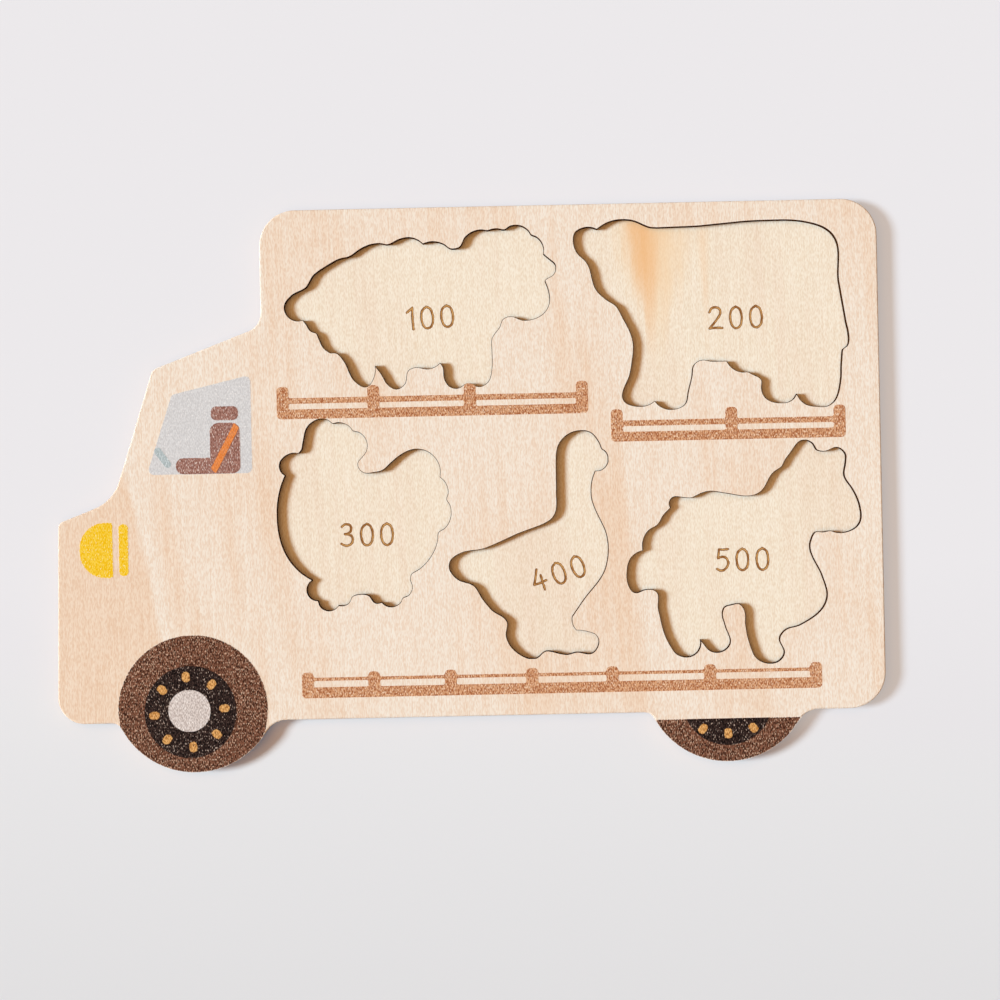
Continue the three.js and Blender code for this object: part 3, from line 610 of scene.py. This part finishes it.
def back_material(look):
    """The base's bare underside, a plainer cream veneer."""
    material, tree, surface, place = new_material("sanded basswood of the back", *WOOD_FINISH)
    color, height = basswood(
        tree, look, place, (*look.frame_cream, 1), (*look.frame_pink, 1), (*look.frame_fibre, 1), 0.61)
    finish(tree, surface, color, height, look.grain_depth)
    return material


def rust(tree, color, place, middle, lean, reach, strength, code):
    """A rusty streak in the base's veneer that narrows and fades downwards with ragged sides."""
    wander = patterns(tree, place, {"wander": ((3.0, 22.0, 60.0), 2.0, 0.0, 0.0)})["wander"]
    spot = add_node(tree, "SeparateXYZ", {"Vector": place})
    x, y = spot.outputs["X"], spot.outputs["Y"]
    across = add_node(tree, "Math", {0: y, 1: lean, 2: x}, operation="MULTIPLY_ADD")
    across = add_node(tree, "Math", {0: wander, 1: 0.6 * reach, 2: across}, operation="MULTIPLY_ADD")
    across = add_node(
        tree, "Math", {0: across, 1: middle + STREAK_MIDDLE * lean + 0.3 * reach}, operation="SUBTRACT")
    across = add_node(tree, "Math", {0: across}, operation="ABSOLUTE")
    wide = add_node(
        tree, "MapRange",
        {"Value": y, "From Min": STREAK_NARROWS[0], "From Max": STREAK_NARROWS[1],
         "To Min": 0.25 * reach, "To Max": reach},
        **EASE)
    fade = add_node(
        tree, "MapRange", {"Value": y, "From Min": STREAK_FADES[0], "From Max": STREAK_FADES[1]}, **EASE)
    share = add_node(
        tree, "MapRange",
        {"Value": across, "From Min": 0.0, "From Max": wide, "To Min": strength, "To Max": 0.0}, **EASE)
    share = add_node(tree, "Math", {0: share, 1: fade}, operation="MULTIPLY")
    return add_node(tree, "Mix", {"Factor": share, "A": color, "B": linear(code)}, **RGBA)


def recess_material(look):
    """The base's face as the recesses show it: creamier veneer, rusty streaks, and burnt numbers."""
    material, tree, surface, place = new_material("sanded basswood with burnt numbers", *WOOD_FINISH)
    color, height = basswood(
        tree, look, place, (*look.base_cream, 1), (*look.base_pink, 1), (*look.base_fibre, 1), 0.37)
    for offset, *streak in STREAKS:
        color = rust(tree, color, place, look.streak_x + offset, *streak)
    stroke = add_node(tree, "Attribute", {}, attribute_name="stroke_mm").outputs["Fac"]
    ragged = patterns(tree, place, {"ragged": ((0.5, 1.2, 1.0), 2.0, 0.0, 0.0)})["ragged"]
    stroke = add_node(tree, "Math", {0: ragged, 1: 0.36, 2: stroke}, operation="MULTIPLY_ADD")
    dwell = patterns(tree, place, {"dwell": ((2.2, 2.2, 2.2), 1.0, 0.11, 0.0)})["dwell"]
    dwell = add_node(
        tree, "MapRange", {"Value": dwell, "From Min": 0.42, "From Max": 0.66, "To Max": 0.8}, **EASE)
    burns = ((0.54, 0.72, 1.0, look.burnt_rim), (0.30, 0.50, 0.9, look.burnt_middle))
    for near, far, strength, burn in burns:
        share = add_node(
            tree, "MapRange",
            {"Value": stroke, "From Min": near, "From Max": far, "To Min": strength, "To Max": 0.0}, **EASE)
        tone = add_node(tree, "Mix", {"Factor": dwell, "A": (*burn, 1), "B": (*look.burnt_rim, 1)}, **RGBA)
        color = add_node(tree, "Mix", {"Factor": share, "A": color, "B": tone}, **RGBA)
    finish(tree, surface, color, height, look.grain_depth)
    return material


def burnt_material(name, roughness, pale, dark):
    """A face cut by the laser: toasted or charred, with scorch marks that run from face to face."""
    material, tree, surface, place = new_material(name, roughness, 0.0)
    pattern = patterns(tree, place, {
        "marks": ((0.4, 0.4, 9.0), 2.0, 0.0, 0.0),
        "blotches": ((18.0, 18.0, 30.0), 2.0, 0.2, 0.0),
    })
    toast = add_node(tree, "Mix", {"Factor": 0.5, "A": pattern["marks"], "B": pattern["blotches"]})
    toast = add_node(tree, "MapRange", {"Value": toast, "From Min": 0.36, "From Max": 0.62}, **EASE)
    color = add_node(tree, "Mix", {"Factor": toast, "A": linear(pale), "B": linear(dark)}, **RGBA)
    finish(tree, surface, color, pattern["marks"], 0.00004)
    return material


def ink_material(look, prints, name):
    """Matt printed ink that looks crayoned: thick or thin in upright strokes, with short gaps.

    Its edge is frayed. The print's dots are under 0.1 mm wide, too fine to show, so its strokes and gaps
    are drawn about 0.3 mm wide.
    """
    material, tree, surface, place = new_material(f"printed {name.replace('_', ' ')} ink", *INK_FINISH)
    bare, fray, margin = WEAR[name]
    pattern = patterns(tree, place, {
        "strokes": ((0.32, 0.9, 0.6), 0.0, 0.29, 0.0),
        "gaps": ((0.30, 0.85, 0.4), 0.0, 0.13, 0.0),
        "drift": ((6.0, 9.0, 5.0), 2.0, 0.41, 0.0),
        "ragged": ((0.5, 0.8, 0.6), 1.0, 0.0, 0.0),
    })
    edge = add_node(tree, "Attribute", {}, attribute_name="edge_mm").outputs["Fac"]
    border = add_node(
        tree, "Math", {0: pattern["ragged"], 1: 1.6 * fray, 2: edge}, operation="MULTIPLY_ADD")
    frayed = margin + 0.72 * fray
    border = add_node(
        tree, "MapRange", {"Value": border, "From Min": frayed, "From Max": frayed + 0.22}, **EASE)
    cover = add_node(
        tree, "Math", {0: pattern["drift"], 1: 0.15, 2: pattern["gaps"]}, operation="MULTIPLY_ADD")
    cover = add_node(
        tree, "MapRange", {"Value": cover, "From Min": bare + 0.015, "From Max": bare + 0.135}, **EASE)
    wood, _ = basswood(
        tree, look, place, (*look.frame_cream, 1), (*look.frame_pink, 1), (*look.frame_fibre, 1), 0.0)
    thick, thin = ((*getattr(prints, f"{name}_{part}"), 1) for part in ("thick", "thin"))
    gap, below = (linear(code) if code else wood for code in UNDER_INK[name])
    strokes = add_node(
        tree, "MapRange", {"Value": pattern["strokes"], "From Min": 0.32, "From Max": 0.68}, **EASE)
    color = add_node(tree, "Mix", {"Factor": strokes, "A": thick, "B": thin}, **RGBA)
    color = add_node(tree, "Mix", {"Factor": cover, "A": gap, "B": color}, **RGBA)
    color = add_node(tree, "Mix", {"Factor": border, "A": below, "B": color}, **RGBA)
    finish(tree, surface, color, pattern["gaps"], look.grain_depth)
    return material


def panel_materials(look):
    """Veneers, cut edges and cut-out walls of the panels, each made once and shared."""
    makers = {
        "sanded basswood of the frame": lambda name: frame_material(look),
        "sanded basswood of the back": lambda name: back_material(look),
        "laser-toasted veneer edge": lambda name: burnt_material(name, 0.75, "#bd9062", "#99693f"),
        "laser-toasted core edge": lambda name: burnt_material(name, 0.75, "#9c6e43", "#7d5431"),
        "laser-charred wall": lambda name: burnt_material(name, 0.9, "#4a2a14", "#341a0a"),
    }
    made = [bpy.data.materials.get(name) or make(name) for name, make in makers.items()]
    return dict(zip(("frame", "back", "edge", "core", "char"), made))


# Settings and operators.


class BoardLook(bpy.types.PropertyGroup):
    """Sizes, strengths and colours of the board's finish."""

    frame_cream: bpy.props.FloatVectorProperty(
        name="Frame cream", description="Pale patches of the frame's veneer",
        default=linear("#f9ecdd")[:3], subtype="COLOR")
    frame_pink: bpy.props.FloatVectorProperty(
        name="Frame pink", description="Pink patches of the frame's veneer",
        default=linear("#f5dcc4")[:3], subtype="COLOR")
    frame_fibre: bpy.props.FloatVectorProperty(
        name="Frame fibre", description="What a fibre leaves of the frame's colour",
        default=linear("#ebd1b8")[:3], subtype="COLOR")
    base_cream: bpy.props.FloatVectorProperty(
        name="Base cream", description="Pale patches of the base's veneer",
        default=linear("#fcefdc")[:3], subtype="COLOR")
    base_pink: bpy.props.FloatVectorProperty(
        name="Base pink", description="Pink patches of the base's veneer",
        default=linear("#f8e5d1")[:3], subtype="COLOR")
    base_fibre: bpy.props.FloatVectorProperty(
        name="Base fibre", description="What a fibre leaves of the base's colour",
        default=linear("#e7d6c1")[:3], subtype="COLOR")
    burnt_rim: bpy.props.FloatVectorProperty(
        name="Burnt rim", description="Darker sides of the burnt strokes",
        default=linear("#875325")[:3], subtype="COLOR")
    burnt_middle: bpy.props.FloatVectorProperty(
        name="Burnt middle", description="Paler middle of the burnt strokes",
        default=linear("#cf9d60")[:3], subtype="COLOR")
    curve_step: bpy.props.FloatProperty(
        name="Curve step", description="Spacing of points along the cut outlines",
        default=0.0007, unit="LENGTH")
    film_step: bpy.props.FloatProperty(
        name="Film step", description="Spacing of points across a printed film",
        default=0.0006, unit="LENGTH")
    arris_radius: bpy.props.FloatProperty(
        name="Arris radius", description="Sanded rounding of the panels' outer edges",
        default=0.0005, unit="LENGTH")
    joint_radius: bpy.props.FloatProperty(
        name="Joint radius", description="Rounding where the two panels meet",
        default=0.0001, unit="LENGTH")
    rim_radius: bpy.props.FloatProperty(
        name="Rim radius", description="Burnt rounding at the top of the cut-outs",
        default=0.0002, unit="LENGTH")
    digit_height: bpy.props.FloatProperty(
        name="Digit height", description="Height of the burnt digits",
        default=0.0078, unit="LENGTH")
    digit_gap: bpy.props.FloatProperty(
        name="Digit gap", description="Space between the burnt digits",
        default=0.0028, unit="LENGTH")
    stroke_width: bpy.props.FloatProperty(
        name="Stroke width", description="Width of the burnt strokes",
        default=0.00082, unit="LENGTH")
    groove_depth: bpy.props.FloatProperty(
        name="Groove depth", description="Depth of the burnt strokes",
        default=0.00015, unit="LENGTH")
    groove_step: bpy.props.FloatProperty(
        name="Groove step", description="Spacing of points round the burnt strokes",
        default=0.00018, unit="LENGTH")
    streak_x: bpy.props.FloatProperty(
        name="Streak place", description="Place of the rusty streak along the board",
        default=0.0665, unit="LENGTH")
    grain_lean: bpy.props.FloatProperty(
        name="Grain lean", description="Lean of the wood's soft patches away from upright",
        default=math.radians(12), subtype="ANGLE")
    grain: bpy.props.FloatProperty(
        name="Grain", description="Strength of the long streaks in the wood",
        default=0.24, subtype="FACTOR")
    pores: bpy.props.FloatProperty(
        name="Pores", description="Strength of the short fibres in the wood",
        default=0.46, subtype="FACTOR")
    grain_depth: bpy.props.FloatProperty(
        name="Grain depth", description="Depth of the wood's and the ink's finest relief",
        default=0.00002, unit="LENGTH")
    speck_rarity: bpy.props.FloatProperty(
        name="Speck rarity", description="Share of the wood's cells without a dark speck",
        default=0.93, subtype="FACTOR")
    key_height: bpy.props.FloatProperty(
        name="Key height", description="Height of the key light above the horizon",
        default=math.radians(37.6), subtype="ANGLE")
    key_spread: bpy.props.FloatProperty(
        name="Key spread", description="How wide the key light looks from the board",
        default=math.radians(15), subtype="ANGLE")
    fill_height: bpy.props.FloatProperty(
        name="Fill height", description="Height of the fill light above the horizon",
        default=math.radians(75), subtype="ANGLE")
    fill_spread: bpy.props.FloatProperty(
        name="Fill spread", description="How wide the fill light looks from the board",
        default=math.radians(70), subtype="ANGLE")
    fill_light: bpy.props.FloatVectorProperty(
        name="Fill light", description="Share of a level surface's light that comes from the fill",
        default=(0.41, 0.238, 0.103), subtype="COLOR")
    room_light: bpy.props.FloatVectorProperty(
        name="Room light", description="Share of a level surface's light that comes from the room",
        default=(0.07, 0.05, 0.035), subtype="COLOR")
    camera_height: bpy.props.FloatProperty(
        name="Camera height", description="Height of the camera above the printed face",
        default=0.8, unit="LENGTH")
    view_width: bpy.props.FloatProperty(
        name="View width", description="Width of the view on the printed face",
        default=0.3605, unit="LENGTH")
    camera_roll: bpy.props.FloatProperty(
        name="Camera roll", description="Turn of the camera about the view",
        default=math.radians(-1.2), subtype="ANGLE")


class PrintLook(bpy.types.PropertyGroup):
    """Colours of the printed inks, where they lie thick and where they lie thin."""

    tyre_thick: bpy.props.FloatVectorProperty(
        name="Tyre, thick", description="Where the tyre's ink lies thick",
        default=linear("#3b2015")[:3], subtype="COLOR")
    tyre_thin: bpy.props.FloatVectorProperty(
        name="Tyre, thin", description="Where the tyre's ink lies thin",
        default=linear("#865742")[:3], subtype="COLOR")
    disc_thick: bpy.props.FloatVectorProperty(
        name="Disc, thick", description="Where the disc's ink lies thick",
        default=linear("#0f0706")[:3], subtype="COLOR")
    disc_thin: bpy.props.FloatVectorProperty(
        name="Disc, thin", description="Where the disc's ink lies thin",
        default=linear("#3e2d28")[:3], subtype="COLOR")
    hub_thick: bpy.props.FloatVectorProperty(
        name="Hub, thick", description="Where the hub's ink lies thick",
        default=linear("#bcaaa1")[:3], subtype="COLOR")
    hub_thin: bpy.props.FloatVectorProperty(
        name="Hub, thin", description="Where the hub's ink lies thin",
        default=linear("#e6d8d0")[:3], subtype="COLOR")
    bolt_thick: bpy.props.FloatVectorProperty(
        name="Bolts, thick", description="Where the bolts' ink lies thick",
        default=linear("#bb7c3c")[:3], subtype="COLOR")
    bolt_thin: bpy.props.FloatVectorProperty(
        name="Bolts, thin", description="Where the bolts' ink lies thin",
        default=linear("#edb673")[:3], subtype="COLOR")
    headlight_thick: bpy.props.FloatVectorProperty(
        name="Headlight, thick", description="Where the headlight's ink lies thick",
        default=linear("#f3bb00")[:3], subtype="COLOR")
    headlight_thin: bpy.props.FloatVectorProperty(
        name="Headlight, thin", description="Where the headlight's ink lies thin",
        default=linear("#fbd248")[:3], subtype="COLOR")
    window_thick: bpy.props.FloatVectorProperty(
        name="Window, thick", description="Where the window's ink lies thick",
        default=linear("#cfcac8")[:3], subtype="COLOR")
    window_thin: bpy.props.FloatVectorProperty(
        name="Window, thin", description="Where the window's ink lies thin",
        default=linear("#dedad8")[:3], subtype="COLOR")
    seat_thick: bpy.props.FloatVectorProperty(
        name="Seat, thick", description="Where the seat's ink lies thick",
        default=linear("#84564a")[:3], subtype="COLOR")
    seat_thin: bpy.props.FloatVectorProperty(
        name="Seat, thin", description="Where the seat's ink lies thin",
        default=linear("#b08274")[:3], subtype="COLOR")
    seat_belt_thick: bpy.props.FloatVectorProperty(
        name="Seat belt, thick", description="Where the seat belt's ink lies thick",
        default=linear("#e07c36")[:3], subtype="COLOR")
    seat_belt_thin: bpy.props.FloatVectorProperty(
        name="Seat belt, thin", description="Where the seat belt's ink lies thin",
        default=linear("#f09658")[:3], subtype="COLOR")
    steering_wheel_thick: bpy.props.FloatVectorProperty(
        name="Steering wheel, thick", description="Where the steering wheel's ink lies thick",
        default=linear("#a9b2b2")[:3], subtype="COLOR")
    steering_wheel_thin: bpy.props.FloatVectorProperty(
        name="Steering wheel, thin", description="Where the steering wheel's ink lies thin",
        default=linear("#bfc7c7")[:3], subtype="COLOR")
    fence_thick: bpy.props.FloatVectorProperty(
        name="Fences, thick", description="Where the fences' ink lies thick",
        default=linear("#a8633c")[:3], subtype="COLOR")
    fence_thin: bpy.props.FloatVectorProperty(
        name="Fences, thin", description="Where the fences' ink lies thin",
        default=linear("#dda67c")[:3], subtype="COLOR")


class BOARD_OT_base(bpy.types.Operator):
    """Build the base panel's three plies, with numbers burnt into its face"""

    bl_idname = "shape_board.base"
    bl_label = "Base panel"

    def execute(self, context):
        look = context.scene.shape_board
        wood = panel_materials(look)
        make_ply("base_back_veneer", look, wood["back"], wood["edge"], wood["char"],
                 lower_radius=look.arris_radius)
        make_ply("base_core_veneer", look, wood["core"], wood["core"], wood["char"])
        face = make_ply(
            "base_face_veneer", look, recess_material(look), wood["edge"], wood["char"],
            upper_radius=look.joint_radius, extra=number_lattice(look),
            relief=lambda points: groove_depth(points, look))
        flat = np.array([vertex.co[:2] for vertex in face.data.vertices])
        distance = stroke_distance(flat, look) / MM
        set_distance(face, "stroke_mm", np.minimum(distance, NO_STROKE))
        return {"FINISHED"}


class BOARD_OT_frame(bpy.types.Operator):
    """Build the frame panel's three plies, with charred walls round the cut-outs"""

    bl_idname = "shape_board.frame"
    bl_label = "Frame panel"

    def execute(self, context):
        look = context.scene.shape_board
        wood = panel_materials(look)
        make_ply("frame_inner_veneer", look, wood["frame"], wood["edge"], wood["char"],
                 lower_radius=look.joint_radius)
        make_ply("frame_core_veneer", look, wood["core"], wood["core"], wood["char"])
        make_ply("frame_face_veneer", look, wood["frame"], wood["edge"], wood["char"],
                 upper_radius=look.arris_radius, sanded=True)
        return {"FINISHED"}


class BOARD_OT_prints(bpy.types.Operator):
    """Print the wheels, the cab and the fences on the frame"""

    bl_idname = "shape_board.prints"
    bl_label = "Prints"

    def execute(self, context):
        look = context.scene.shape_board
        inks = {name: ink_material(look, context.scene.shape_board_prints, name) for name in UNDER_INK}
        for node, ink in {**WHEEL_PRINTS, **CAB_PRINTS, **FENCE_PRINTS}.items():
            make_film(node, look, inks[ink])
        return {"FINISHED"}


class BOARD_OT_stage(bpy.types.Operator):
    """Set out the table, the soft light and the camera"""

    bl_idname = "shape_board.stage"
    bl_label = "Stage"

    def execute(self, context):
        scene = context.scene
        look = scene.shape_board
        self.lay_table(scene)
        self.hang_lights(scene, look)
        self.aim_camera(scene, look)
        scene.view_settings.view_transform = "Standard"
        return {"FINISHED"}

    def lay_table(self, scene):
        """A pale table whose painted glow keeps shadows light, painted dimmer and bluer by the wheels; its
        colour and glow are painted darker towards the near side.
        """
        mesh = bpy.data.meshes.new("table")
        corners = [(x * TABLE_HALF, y * TABLE_HALF, 0) for x, y in ((-1, -1), (1, -1), (1, 1), (-1, 1))]
        mesh.from_pydata(corners, [], [(0, 1, 2, 3)])
        material, tree, surface, place = new_material("pale table with painted glow", 1.0, 0.0)
        spot = add_node(tree, "SeparateXYZ", {"Vector": place})
        far = add_node(
            tree, "Math", {0: spot.outputs["X"], 1: SHADE_LEAN, 2: spot.outputs["Y"]},
            operation="MULTIPLY_ADD")
        far = add_node(
            tree, "MapRange", {"Value": far, "From Min": SHADE_EDGE[0], "From Max": SHADE_EDGE[1]}, **EASE)
        # painted falloff of light: the table's colour and glow are multiplied darker towards the near side
        level = add_node(
            tree, "MapRange",
            {"Value": spot.outputs["Y"], "From Min": DIM_EDGE[0], "From Max": DIM_EDGE[1], "To Min": 0.9})
        # painted light and shade: by the wheels a pale colour with a faint bluish glow paints their shadows
        # darker; further off a greyer colour with a strong grey glow paints shadows lighter
        tones = {"Base Color": ("#ece3dc", "#b5b0b1"), "Emission Color": ("#004460", "#a5a6a8")}
        for socket, (near, away) in tones.items():
            color = add_node(tree, "Mix", {"Factor": far, "A": linear(near), "B": linear(away)}, **RGBA)
            color = add_node(
                tree, "Mix", {"Factor": 1.0, "A": color, "B": level}, blend_type="MULTIPLY", **RGBA)
            tree.links.new(output_of(color), surface.inputs[socket])
        surface.inputs["Emission Strength"].default_value = 1.0
        mesh.materials.append(material)
        table = bpy.data.objects.new("table", mesh)
        scene.collection.objects.link(table)

    def hang_light(self, scene, name, level, height, spread):
        """A far soft light from the nose's side that gives a level surface a share of its light."""
        strength = max(level)
        data = bpy.data.lights.new(name, "SUN")
        data.angle = spread
        data.color = level / strength
        data.energy = math.pi * strength / math.sin(height)
        light = bpy.data.objects.new(name, data)
        towards = Vector((-math.cos(height), 0, math.sin(height)))
        light.rotation_euler = towards.to_track_quat("Z", "Y").to_euler()
        scene.collection.objects.link(light)

    def hang_lights(self, scene, look):
        """A soft key, a warm fill from high up and some room light, white together on a level face."""
        fill, room_level = Vector(look.fill_light), Vector(look.room_light)
        key = Vector((1, 1, 1)) - fill - room_level
        self.hang_light(scene, "soft key", key, look.key_height, look.key_spread)
        self.hang_light(scene, "warm fill", fill, look.fill_height, look.fill_spread)

        world = bpy.data.worlds.new("room light")
        world.use_nodes = True
        scene.world = world
        tree = world.node_tree
        room = tree.nodes["Background"]
        room.inputs["Color"].default_value = (*room_level, 1.0)
        backdrop = add_node(tree, "Background", {"Color": linear("#ebe8eb")})
        seen = add_node(tree, "LightPath", {}).outputs["Is Camera Ray"]
        mixed = add_node(tree, "MixShader", {0: seen, 1: room, 2: backdrop})
        tree.links.new(output_of(mixed), tree.nodes["World Output"].inputs["Surface"])

    def aim_camera(self, scene, look):
        """Straight down on the board, turned a little."""
        _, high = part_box("frame_face_veneer")
        data = bpy.data.cameras.new("camera")
        data.sensor_width = 36.0
        data.lens = data.sensor_width * look.camera_height / look.view_width
        data.clip_start = 0.01
        data.clip_end = 20.0
        camera = bpy.data.objects.new("camera", data)
        camera.location = (*VIEW_MIDDLE, high.z + look.camera_height)
        camera.rotation_euler = (0.0, 0.0, look.camera_roll)
        scene.collection.objects.link(camera)
        scene.camera = camera


class BOARD_PT_panel(bpy.types.Panel):
    """Steps and settings of the shape board"""

    bl_idname = "BOARD_PT_panel"
    bl_label = "Shape Board"
    bl_space_type = "VIEW_3D"
    bl_region_type = "UI"
    bl_category = "Shape Board"

    def draw(self, context):
        for step in (BOARD_OT_base, BOARD_OT_frame, BOARD_OT_prints, BOARD_OT_stage):
            self.layout.operator(step.bl_idname)
        for group in (context.scene.shape_board, context.scene.shape_board_prints):
            for name in type(group).__annotations__:
                self.layout.prop(group, name)


CLASSES = (
    BoardLook, PrintLook, BOARD_OT_base, BOARD_OT_frame, BOARD_OT_prints, BOARD_OT_stage, BOARD_PT_panel)


def register():
    """Makes the settings, the steps and the panel known to Blender."""
    for cls in CLASSES:
        bpy.utils.register_class(cls)
    bpy.types.Scene.shape_board = bpy.props.PointerProperty(type=BoardLook)
    bpy.types.Scene.shape_board_prints = bpy.props.PointerProperty(type=PrintLook)


def unregister():
    """Takes them away again."""
    del bpy.types.Scene.shape_board_prints
    del bpy.types.Scene.shape_board
    for cls in reversed(CLASSES):
        bpy.utils.unregister_class(cls)


def main():
    """Runs the steps in order."""
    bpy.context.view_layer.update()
    register()
    bpy.ops.shape_board.base()
    bpy.ops.shape_board.frame()
    bpy.ops.shape_board.prints()
    bpy.ops.shape_board.stage()


if __name__ == "__main__":
    main()
